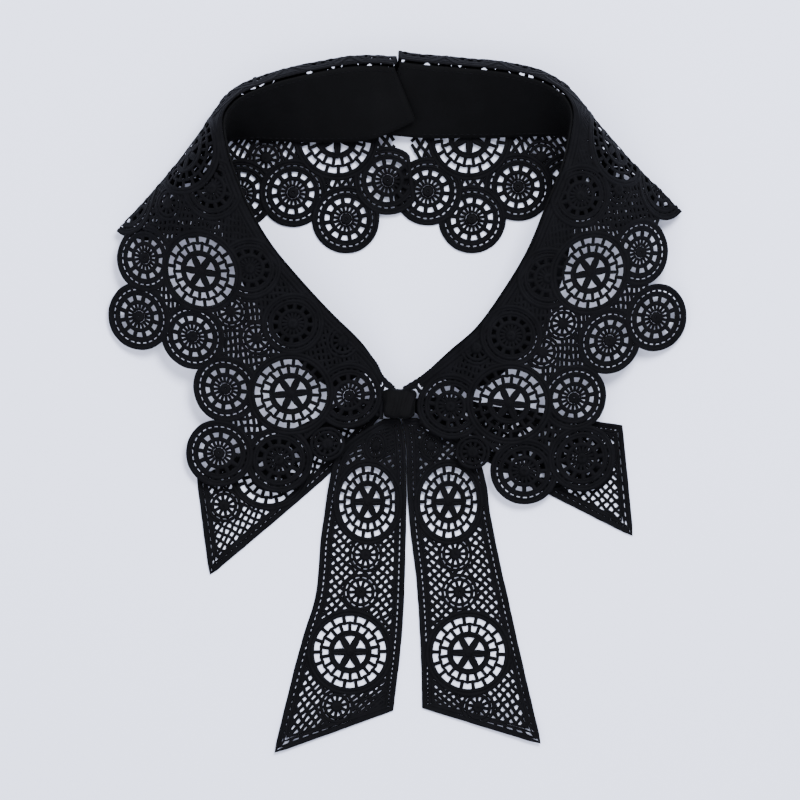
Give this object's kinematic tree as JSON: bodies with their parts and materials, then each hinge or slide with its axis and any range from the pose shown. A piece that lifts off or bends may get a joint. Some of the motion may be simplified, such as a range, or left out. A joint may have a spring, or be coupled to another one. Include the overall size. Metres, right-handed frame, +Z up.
{
  "type": "lace collar",
  "caption": "Detachable guipure lace collar with scalloped falls, a cloth neckband and a tied front with hanging lace tails, laid out flat.",
  "frame": {"origin": "middle of the underside of the whole collar, on the surface it lies on", "axes": "+Z up from the surface, +Y towards the back of the neck, +X to the right as seen from above with the tails towards the viewer"},
  "size_m": [0.2424, 0.2952, 0.0396],
  "materials": {
    "lace": "matte embroidered thread with a faint sheen",
    "cloth": "matte plain woven cloth"
  },
  "bodies": {
    "root": {"fall_left": "lace", "fall_right": "lace", "band_left": "cloth", "band_right": "cloth", "tail_long_left": "lace", "tail_long_right": "lace", "tail_short_left": "lace", "tail_short_right": "lace", "knot": "cloth"}
  },
  "joints": []
}
